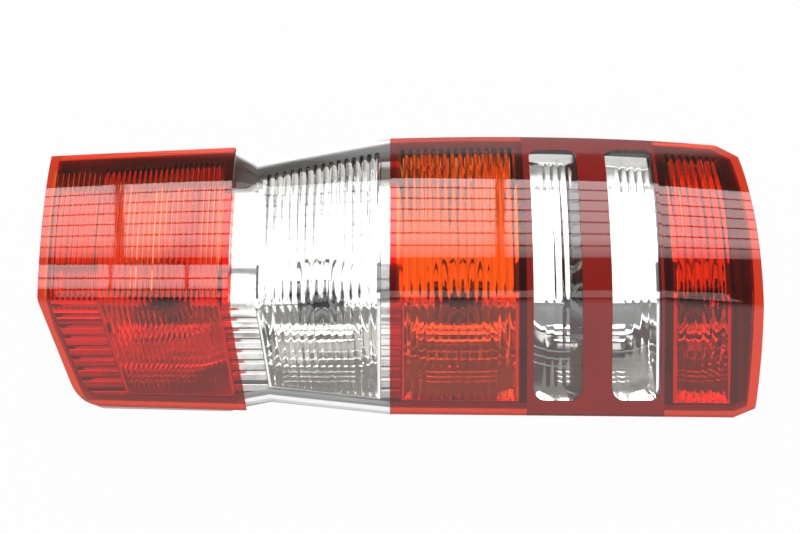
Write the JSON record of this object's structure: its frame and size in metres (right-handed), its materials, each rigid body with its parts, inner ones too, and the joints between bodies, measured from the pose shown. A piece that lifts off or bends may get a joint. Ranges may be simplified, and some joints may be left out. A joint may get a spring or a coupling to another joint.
{
  "type": "tail light cluster",
  "caption": "Long tail light cluster for a van: a waisted red, clear and dark lens over a housing with reflectors, bulbs and a rear carrier, fixed by studs in its back.",
  "frame": {"origin": "centre of the four mounting studs, on the flat back of the housing", "axes": "+X along the lamp towards its upper end, +Y towards the broad rear face's door edge, +Z out of the lens"},
  "size_m": [0.4297, 0.1883, 0.1038],
  "materials": {
    "lens_red": "clear red acrylic, polished",
    "lens_clear": "clear acrylic, polished",
    "lens_dark": "opaque dark red acrylic, polished",
    "housing_plastic": "moulded, fine grain",
    "carrier_plastic": "moulded",
    "metallised": "vacuum metallised, mirror bright",
    "seal_rubber": "soft, matt",
    "contact_brass": "stamped strip",
    "cap_metal": "drawn brass, nickel plated",
    "plated_steel": "zinc plated",
    "bulb_glass": "clear",
    "amber_glass": "silver coated, glows amber when lit"
  },
  "bodies": {
    "root": {"body_seal": "seal_rubber", "breather_cap": "seal_rubber", "bulb_cap_brake": "cap_metal", "bulb_cap_fog": "cap_metal", "bulb_cap_reverse": "cap_metal", "bulb_cap_tail": "cap_metal", "bulb_cap_turn": "cap_metal", "bulb_carrier": "carrier_plastic", "bulb_glass_brake": "bulb_glass", "bulb_glass_fog": "bulb_glass", "bulb_glass_reverse": "bulb_glass", "bulb_glass_tail": "bulb_glass", "bulb_glass_turn": "amber_glass", "carrier_seal": "seal_rubber", "centre_contacts": "contact_brass", "connector_pins": "contact_brass", "connector_shell": "housing_plastic", "ground_track": "contact_brass", "housing": "housing_plastic", "lens_bar_lower": "lens_clear", "lens_bar_upper": "lens_clear", "lens_clear": "lens_clear", "lens_dark_band": "lens_dark", "lens_red_lower": "lens_red", "lens_red_middle": "lens_red", "lens_red_upper": "lens_red", "mounting_studs": "plated_steel", "reflector_brake": "metallised", "reflector_fog": "metallised", "reflector_reverse": "metallised", "reflector_tail": "metallised", "reflector_turn": "metallised", "ribbed_trim_centre": "metallised", "ribbed_trim_end": "metallised", "ribbed_trim_waist": "metallised", "supply_tracks": "contact_brass"}
  },
  "joints": []
}
